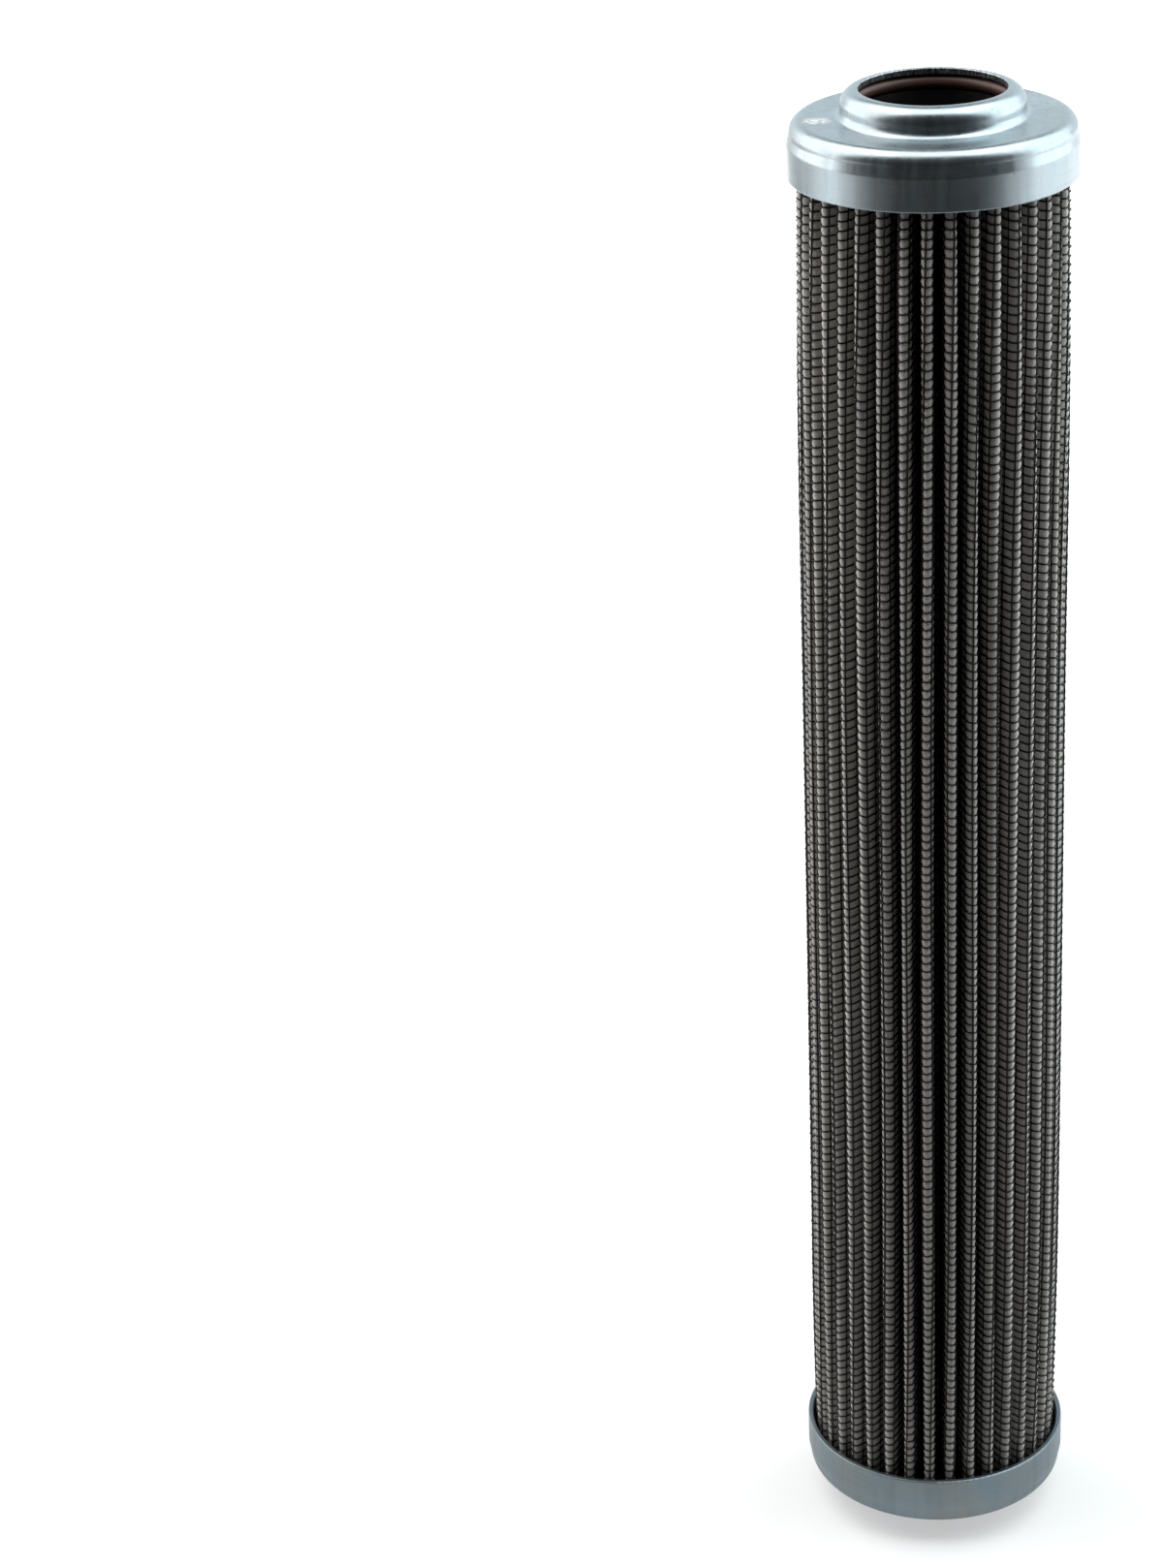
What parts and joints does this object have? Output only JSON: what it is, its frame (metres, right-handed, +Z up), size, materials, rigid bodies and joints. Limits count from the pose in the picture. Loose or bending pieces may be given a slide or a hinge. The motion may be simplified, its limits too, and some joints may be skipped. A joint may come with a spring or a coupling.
{
  "type": "hydraulic filter",
  "caption": "Slim cylindrical oil filter element, open at both ends: a mesh-clad pleated pack on a perforated core, held between drawn steel end caps with sealed bores.",
  "frame": {"origin": "centre of the bottom end cap's lowest face, on the element's axis", "axes": "+Z up along the element's axis, +Y towards the side with the pack's bonded seam"},
  "size_m": [0.039, 0.039, 0.22],
  "materials": {
    "zinc_plated_steel": "satin",
    "core_steel": "satin",
    "brown_rubber": "satin",
    "coated_wire": "satin",
    "grey_cloth": "matte",
    "glass_fibre": "matte",
    "potting_resin": "matte"
  },
  "bodies": {
    "root": {"top_end_cap": "zinc_plated_steel", "bottom_end_cap": "zinc_plated_steel", "top_o_ring": "brown_rubber", "bottom_o_ring": "brown_rubber", "top_seal_retainer": "core_steel", "bottom_seal_retainer": "core_steel", "core_tube": "core_steel", "inner_wire_mesh": "coated_wire", "inner_veil": "grey_cloth", "filter_media": "glass_fibre", "outer_veil": "grey_cloth", "outer_wire_mesh": "coated_wire", "side_seam": "potting_resin", "top_potting": "potting_resin", "bottom_potting": "potting_resin"}
  },
  "joints": []
}
